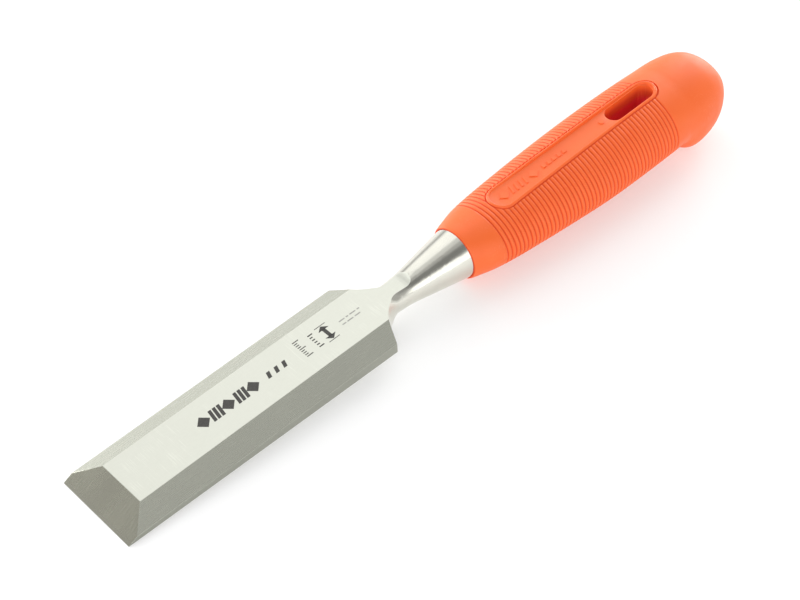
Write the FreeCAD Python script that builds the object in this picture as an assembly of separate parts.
"""Bench chisel, 32 mm: a one-piece forged blade and a moulded plastic handle.

Tool axes: x runs from the cutting edge (x = 0) to the striking end of the handle, y across the
blade, z up from the blade's flat back (z = 0). The finished pieces are turned about y so that the
chisel lies on z = 0 on its cutting edge and on the heel of its handle, and are then moved so that
the origin is at the middle of the underside of the whole tool. All lengths are in millimetres.
"""
import FreeCAD, Part
import math
import os
from FreeCAD import Vector

os.makedirs("parts", exist_ok=True)

# Blade
BLADE_WIDTH = 32.0
EDGE_ANGLE = 26.3            # degrees between the end bevel and the back
LAND_HEIGHT = 4.9            # height of the land's plane above the cutting edge
LAND_RISE = 0.019            # the blade thickens by this much per millimetre towards the handle
LAND_HALF_WIDTH = 9.05
SIDE_BEVEL_SLOPE = 0.47      # fall of the side bevels per millimetre across
SHOULDER_X = 102.4           # where the blade's parallel sides end

# Shoulders, neck and bolster: the profiles are x, radius about the tool's axis
AXIS_HEIGHT = 2.85           # height of the bolster's and handle's axis above the back
NECK_X = 114.5
NECK_RADIUS = 5.0
CORNER_CLEARANCE = 0.05      # the flare starts this far outside the blade's corners
FLARE_PROFILE = ((105.4, 10.3), (107.9, 7.7), (110.8, 5.95), (NECK_X, NECK_RADIUS))
FLARE_START_SLOPE = -2.0
FLARE_END_SLOPE = 0.02
NECK_PROFILE = ((105.0, 2.0), (109.5, 4.1), (NECK_X, NECK_RADIUS), (119.0, 5.28))
NECK_START_SLOPE = 0.55
BOLSTER_END_X = 142.3
BOLSTER_END_RADIUS = 9.05
CONE_START_X = 124.0         # behind this the bolster's sides are straight
CONE_SLOPE = 0.166           # growth of the cone's radius per millimetre
LAND_END_X = 118.2           # where the flat of the land starts to run out on the bolster
RUN_OUT_LENGTH = 4.4
RUN_OUT_HEIGHT = 2.3
RUN_OUT_BEND = 2.9           # how far along the land's own line the run-out is tangent to it

# Tang, hidden in the handle
TANG_SEAT = 1.0              # how far inside the bolster the tang's solid starts
TANG_END_X = 203.0
TANG_ROOT = (10.4, 7.6)      # width and height of the tang at the bolster
TANG_TIP = (6.2, 4.6)        # width and height before the point
TANG_POINT = (2.1, 2.3)      # width and height at the end of the point
TANG_POINT_LENGTH = 5.0
TANG_NOTCH_RADIUS = 1.4
TANG_NOTCH_DEPTH = 0.9
TANG_NOTCH_PITCH = 13.0
TANG_NOTCHES = 4
TANG_FIRST_NOTCH_X = 151.4

# Handle
HANDLE_START_X = 141.5
HANDLE_END_X = 263.5
HEEL_START_X = 235.3         # behind this the underside steps down to the heel
GROOVE_FIRST_X = 153.0
GROOVE_LAST_X = 229.0
GROOVE_COUNT = 48
GROOVE_MOUTH = 0.75
GROOVE_FLOOR = 0.35
GROOVE_DEPTH = 0.4
RIBS_START_X = 152.2
RIBS_END_X = 229.8
PANEL_START_X = 158.0        # outside of the panel's rim at its front end
PANEL_END_X = 233.4          # outside of the panel's rim at its back end
PANEL_FRONT_RADIUS = 5.15    # half the panel's width, rim included, at the front
PANEL_BACK_RADIUS = 4.65
PANEL_RIM = 0.95
PANEL_RIM_RISE = 0.2
PANEL_RECESS = 0.75          # depth of the panel's floor below the handle's top at its two ends
PANEL_MARGIN = 2.0           # how far in front of the panel its block is lofted before trimming
SLOT_LENGTH = 20.4
SLOT_RADIUS = 3.3

# Sections of the handle: x, half width, height above the axis, depth below it, and how square
# the lower half is (2 is a plain ellipse). Behind the grip the lower half steps out into a heel.
HANDLE_SECTIONS = (
    (141.5, 9.35, 9.20, 9.25, 2.0),
    (142.2, 9.75, 9.40, 9.50, 2.0),
    (145.8, 11.05, 9.60, 9.75, 2.0),
    (150.0, 12.40, 9.90, 9.95, 2.0),
    (156.0, 13.45, 10.30, 10.30, 2.0),
    (165.0, 14.32, 10.85, 10.85, 2.0),
    (181.0, 15.50, 11.75, 11.75, 2.0),
    (199.0, 16.35, 12.65, 12.65, 2.0),
    (216.0, 16.45, 13.35, 12.55, 2.0),
    (229.0, 16.22, 13.62, 12.33, 2.0),
    (235.2, 15.95, 13.68, 12.15, 2.0),
    (236.4, 15.97, 13.66, 12.25, 2.05),
    (237.4, 15.98, 13.65, 13.20, 2.2),
    (238.6, 15.99, 13.66, 14.65, 2.35),
    (240.7, 16.02, 13.75, 15.70, 2.5),
    (243.9, 15.94, 13.78, 15.93, 2.5),
    (248.0, 15.41, 13.62, 15.48, 2.45),
    (251.7, 14.52, 13.20, 14.40, 2.35),
    (255.0, 13.01, 12.06, 12.64, 2.25),
    (257.7, 11.05, 9.90, 10.46, 2.15),
    (260.1, 8.72, 7.05, 7.78, 2.05),
    (262.1, 5.90, 4.05, 5.05, 2.0),
    (263.1, 3.50, 1.75, 2.95, 2.0),
    (263.5, 1.60, 0.35, 1.30, 2.0),
)
OUTLINE_POINTS = 16          # points on the outline of each section behind HEEL_START_X
SMOOTH_STEP = 1.3            # about how far apart the rings of the smooth stretches are
FACET_TOLERANCE = 0.05       # for measuring the finished length
BIG = 40.0                   # larger than the tool is wide or high


def land_height(x):
    """Height of the land's plane above the back at x."""
    return LAND_HEIGHT + LAND_RISE * x


def prism_along_y(points):
    """Solid with the given x, z outline, reaching well past both sides of the tool."""
    corners = [Vector(x, -BIG, z) for x, z in points]
    face = Part.Face(Part.makePolygon(corners + corners[:1]))
    return face.extrude(Vector(0, 2 * BIG, 0))


def stadium(start_x, end_x, start_radius, end_radius):
    """Flat face at z = 0 with two round ends, tapering evenly from one radius to the other."""
    start = start_x + start_radius
    end = end_x - end_radius
    lean = math.asin((start_radius - end_radius) / (end - start))
    across = Vector(math.sin(lean), math.cos(lean), 0)
    mirrored = Vector(across.x, -across.y, 0)
    start_centre = Vector(start, 0, 0)
    end_centre = Vector(end, 0, 0)
    left = [start_centre + across * start_radius, end_centre + across * end_radius]
    right = [start_centre + mirrored * start_radius, end_centre + mirrored * end_radius]
    edges = [
        Part.LineSegment(left[0], left[1]),
        Part.Arc(left[1], Vector(end_x, 0, 0), right[1]),
        Part.LineSegment(right[1], right[0]),
        Part.Arc(right[0], Vector(start_x, 0, 0), left[0]),
    ]
    return Part.Face(Part.Wire([edge.toShape() for edge in edges]))


# ---------------------------------------------------------------- forged blade

def blade_plate():
    """Parallel-sided plate with its tapering land, side bevels and sharpened end bevel."""
    land_start = LAND_HEIGHT / (math.tan(math.radians(EDGE_ANGLE)) - LAND_RISE)
    plate = prism_along_y([
        (0, 0),
        (land_start, land_height(land_start)),
        (NECK_X, land_height(NECK_X)),
        (NECK_X, 0),
    ])
    slab = Part.makeBox(NECK_X, BLADE_WIDTH, BIG, Vector(0, -BLADE_WIDTH / 2, 0))
    plate = plate.common(slab)
    for side in (-1, 1):
        ridge = Vector(0, side * LAND_HALF_WIDTH, LAND_HEIGHT)
        fall = Vector(0, side * BIG, -SIDE_BEVEL_SLOPE * BIG)
        corners = [ridge, ridge + fall, ridge + fall + Vector(0, 0, 2 * BIG), ridge + Vector(0, 0, BIG)]
        wedge = Part.Face(Part.makePolygon(corners + corners[:1]))
        run = Vector(1, 0, LAND_RISE)
        wedge.translate(run * -BIG)
        plate = plate.cut(wedge.extrude(run * (NECK_X + 2 * BIG)))
    return plate


def revolved(profile, start_slope, end_slope):
    """Solid of revolution about the tool's axis from a smooth profile of x, radius points."""
    curve = Part.BSplineCurve()
    curve.interpolate(
        Points=[Vector(x, 0, AXIS_HEIGHT + radius) for x, radius in profile],
        InitialTangent=Vector(1, 0, start_slope),
        FinalTangent=Vector(1, 0, end_slope),
    )
    start = Vector(profile[0][0], 0, AXIS_HEIGHT)
    end = Vector(profile[-1][0], 0, AXIS_HEIGHT)
    wire = Part.Wire([
        Part.makeLine(start, curve.StartPoint),
        curve.toShape(),
        Part.makeLine(curve.EndPoint, end),
        Part.makeLine(end, start),
    ])
    return Part.Face(wire).revolve(start, Vector(1, 0, 0), 360)


def shoulder_trim():
    """What the plate is kept within: a box as far as the shoulders, then a concave flare."""
    corner_radius = math.hypot(BLADE_WIDTH / 2, AXIS_HEIGHT) + CORNER_CLEARANCE
    profile = ((SHOULDER_X, corner_radius),) + FLARE_PROFILE
    flare = revolved(profile, FLARE_START_SLOPE, FLARE_END_SLOPE)
    box = Part.makeBox(SHOULDER_X + BIG, 2 * BIG, 2 * BIG, Vector(-BIG, -BIG, -BIG))
    return box.fuse(flare)


def run_out_edge():
    """Concave curve in which the land ends on top of the bolster, tangent to the land."""
    bend_x = LAND_END_X + RUN_OUT_BEND
    end_x = LAND_END_X + RUN_OUT_LENGTH
    curve = Part.BezierCurve()
    curve.setPoles([
        Vector(LAND_END_X, -BIG, land_height(LAND_END_X)),
        Vector(bend_x, -BIG, land_height(bend_x)),
        Vector(end_x, -BIG, land_height(LAND_END_X) + RUN_OUT_HEIGHT),
    ])
    return curve


def neck_and_bolster():
    """Round neck that rises out of the plate and opens into the conical bolster."""
    cone_start_radius = BOLSTER_END_RADIUS - CONE_SLOPE * (BOLSTER_END_X - CONE_START_X)
    cone = ((CONE_START_X, cone_start_radius), (BOLSTER_END_X, BOLSTER_END_RADIUS))
    neck = revolved(NECK_PROFILE + cone, NECK_START_SLOPE, CONE_SLOPE)
    run_out = run_out_edge()
    front = Vector(SHOULDER_X, -BIG, land_height(SHOULDER_X))
    above_front = Vector(SHOULDER_X, -BIG, BIG)
    above_end = Vector(run_out.EndPoint.x, -BIG, BIG)
    outline = Part.Wire([
        Part.makeLine(front, run_out.StartPoint),
        run_out.toShape(),
        Part.makeLine(run_out.EndPoint, above_end),
        Part.makeLine(above_end, above_front),
        Part.makeLine(above_front, front),
    ])
    return neck.cut(Part.Face(outline).extrude(Vector(0, 2 * BIG, 0)))


def rectangle_at(x, width, height):
    """Closed rectangle across the axis at x."""
    low = AXIS_HEIGHT - height / 2
    high = AXIS_HEIGHT + height / 2
    corners = [
        Vector(x, -width / 2, low),
        Vector(x, width / 2, low),
        Vector(x, width / 2, high),
        Vector(x, -width / 2, high),
    ]
    return Part.makePolygon(corners + corners[:1])


def tang():
    """Tapered, notched and pointed bar that the handle is moulded onto."""
    root_x = BOLSTER_END_X - TANG_SEAT
    point_x = TANG_END_X - TANG_POINT_LENGTH
    taper = [rectangle_at(root_x, *TANG_ROOT), rectangle_at(point_x, *TANG_TIP)]
    point = [rectangle_at(point_x, *TANG_TIP), rectangle_at(TANG_END_X, *TANG_POINT)]
    bar = Part.makeLoft(taper, True, True).fuse(Part.makeLoft(point, True, True))
    for index in range(TANG_NOTCHES):
        x = TANG_FIRST_NOTCH_X + TANG_NOTCH_PITCH * index
        share = (x - root_x) / (point_x - root_x)
        half_width = (TANG_ROOT[0] + (TANG_TIP[0] - TANG_ROOT[0]) * share) / 2
        for side in (-1, 1):
            centre_y = side * (half_width + TANG_NOTCH_RADIUS - TANG_NOTCH_DEPTH)
            foot = Vector(x, centre_y, AXIS_HEIGHT - BIG / 2)
            bar = bar.cut(Part.makeCylinder(TANG_NOTCH_RADIUS, BIG, foot, Vector(0, 0, 1)))
    return bar


def blade():
    """The whole forging: plate, neck, bolster and tang in one solid."""
    plate = blade_plate().common(shoulder_trim())
    return plate.fuse([neck_and_bolster(), tang()]).removeSplitter()


# ---------------------------------------------------------------- moulded handle

def handle_section(x):
    """Half width, upper height, lower depth and squareness of the handle at x.

    Each runs smoothly through the rows of HANDLE_SECTIONS, with the slope at a row taken from the
    rows on either side of it.
    """
    last = len(HANDLE_SECTIONS) - 1
    low = max(i for i in range(last) if HANDLE_SECTIONS[i][0] <= x or i == 0)
    rows = [HANDLE_SECTIONS[min(max(low + step, 0), last)] for step in (-1, 0, 1, 2)]
    span = rows[2][0] - rows[1][0]
    t = (x - rows[1][0]) / span
    values = []
    for before, start, end, after in list(zip(*rows))[1:]:
        start_slope = (end - before) / (rows[2][0] - rows[0][0]) * span
        end_slope = (after - start) / (rows[3][0] - rows[1][0]) * span
        values.append(
            (2 * t**3 - 3 * t**2 + 1) * start
            + (t**3 - 2 * t**2 + t) * start_slope
            + (3 * t**2 - 2 * t**3) * end
            + (t**3 - t**2) * end_slope
        )
    return values


def ellipse_wire(x, half_width, upper, lower):
    """Elliptical outline across the axis at x, reaching upper above the axis and lower below it."""
    centre = Vector(x, 0, AXIS_HEIGHT + (upper - lower) / 2)
    side = centre + Vector(0, half_width, 0)
    top = centre + Vector(0, 0, (upper + lower) / 2)
    return Part.Wire([Part.Ellipse(side, top, centre).toShape()])


def outline_wire(x, half_width, upper, lower, squareness):
    """Closed outline across the axis at x: an ellipse, or a smooth curve where the heel is."""
    if x <= HEEL_START_X:
        return ellipse_wire(x, half_width, upper, lower)
    points = []
    for index in range(OUTLINE_POINTS):
        angle = 2 * math.pi * index / OUTLINE_POINTS
        power = 1.0 if math.sin(angle) >= 0 else 2.0 / squareness
        y = math.copysign(abs(math.cos(angle)) ** power, math.cos(angle)) * half_width
        rise = math.copysign(abs(math.sin(angle)) ** power, math.sin(angle))
        height = upper if rise > 0 else lower
        points.append(Vector(x, y, AXIS_HEIGHT + rise * height))
    curve = Part.BSplineCurve()
    curve.interpolate(Points=points, PeriodicFlag=True)
    return Part.Wire([curve.toShape()])


def smooth_places(start_x, end_x):
    """Places between two ends: the rows of HANDLE_SECTIONS there, and more evenly between them."""
    rows = [start_x] + [row[0] for row in HANDLE_SECTIONS if start_x < row[0] < end_x] + [end_x]
    places = []
    for low, high in zip(rows, rows[1:]):
        count = max(1, round((high - low) / SMOOTH_STEP))
        places += [low + (high - low) * step / count for step in range(count)]
    return places + [end_x]


def handle_body():
    """The handle's outside, as straight faces from ring to ring, with its ribs and grooves."""
    wires = [outline_wire(x, *handle_section(x)) for x in smooth_places(HANDLE_START_X, RIBS_START_X)]
    pitch = (GROOVE_LAST_X - GROOVE_FIRST_X) / (GROOVE_COUNT - 1)
    for index in range(GROOVE_COUNT):
        x = GROOVE_FIRST_X + pitch * index
        for offset, depth in (
            (-GROOVE_MOUTH / 2, 0),
            (-GROOVE_FLOOR / 2, GROOVE_DEPTH),
            (GROOVE_FLOOR / 2, GROOVE_DEPTH),
            (GROOVE_MOUTH / 2, 0),
        ):
            sizes = [size - depth for size in handle_section(x + offset)[:3]]
            wires.append(ellipse_wire(x + offset, *sizes))
    wires += [outline_wire(x, *handle_section(x)) for x in smooth_places(RIBS_END_X, HANDLE_END_X)]
    return Part.makeLoft(wires, True, True)


def panel_block(panel):
    """Solid inside the panel's outline that fills the grooves there and stands proud as its rim."""
    wires = []
    for x in smooth_places(PANEL_START_X - PANEL_MARGIN, HEEL_START_X):
        half_width, upper, lower, _ = handle_section(x)
        wires.append(ellipse_wire(x, half_width, upper + PANEL_RIM_RISE, lower))
    return Part.makeLoft(wires, True, True).common(panel)


def raised(face):
    """Upright solid on a flat face, from the handle's axis to above its top."""
    solid = face.extrude(Vector(0, 0, BIG))
    solid.translate(Vector(0, 0, AXIS_HEIGHT))
    return solid


def panel_recess():
    """Solid cut out above the panel's flat floor, which follows the slope of the handle's top."""
    floor_ends = []
    for x in (PANEL_START_X, PANEL_END_X):
        floor_ends.append((x, AXIS_HEIGHT + handle_section(x)[1] - PANEL_RECESS))
    (start_x, start_z), (end_x, end_z) = floor_ends
    above = prism_along_y([(start_x, start_z), (end_x, end_z), (end_x, BIG), (start_x, BIG)])
    inner = stadium(
        PANEL_START_X + PANEL_RIM,
        PANEL_END_X - PANEL_RIM,
        PANEL_FRONT_RADIUS - PANEL_RIM,
        PANEL_BACK_RADIUS - PANEL_RIM,
    )
    return raised(inner).common(above)


def hanging_slot():
    """Upright round-ended slot through the back of the handle."""
    end_x = PANEL_END_X - PANEL_BACK_RADIUS + SLOT_RADIUS
    slot = stadium(end_x - SLOT_LENGTH, end_x, SLOT_RADIUS, SLOT_RADIUS)
    slot.translate(Vector(0, 0, -BIG))
    return slot.extrude(Vector(0, 0, 2 * BIG))


def handle(forging):
    """Ribbed grip with its panel and slot, moulded round the forging's bolster end and tang."""
    panel = raised(stadium(PANEL_START_X, PANEL_END_X, PANEL_FRONT_RADIUS, PANEL_BACK_RADIUS))
    body = handle_body().fuse(panel_block(panel))
    body = body.cut(panel_recess())
    body = body.cut(hanging_slot())
    return body.cut(forging)


# ---------------------------------------------------------------- laid on its resting surface

def resting_tilt():
    """Angle about y, in degrees, that brings the handle's heel level with the cutting edge."""
    depths = [(x, lower - AXIS_HEIGHT) for x, _, _, lower, _ in HANDLE_SECTIONS]
    return -max(math.degrees(math.atan2(depth, x)) for x, depth in depths)


def main():
    forging = blade()
    grip = handle(forging)
    pieces = {"blade": forging, "handle": grip}
    tilt = resting_tilt()
    for name, shape in pieces.items():
        print(name, "valid", shape.isValid(), "solids", len(shape.Solids), "volume", shape.Volume)
        shape.rotate(Vector(0, 0, 0), Vector(0, 1, 0), tilt)
    points = Part.makeCompound(list(pieces.values())).tessellate(FACET_TOLERANCE)[0]
    ends = [min(p.x for p in points), max(p.x for p in points)]
    shift = Vector(-sum(ends) / 2, 0, -min(p.z for p in points))
    for name, shape in pieces.items():
        shape.translate(shift)
        shape.exportStep("parts/" + name + ".step")
    print("tilt", tilt, "shift", shift)


main()
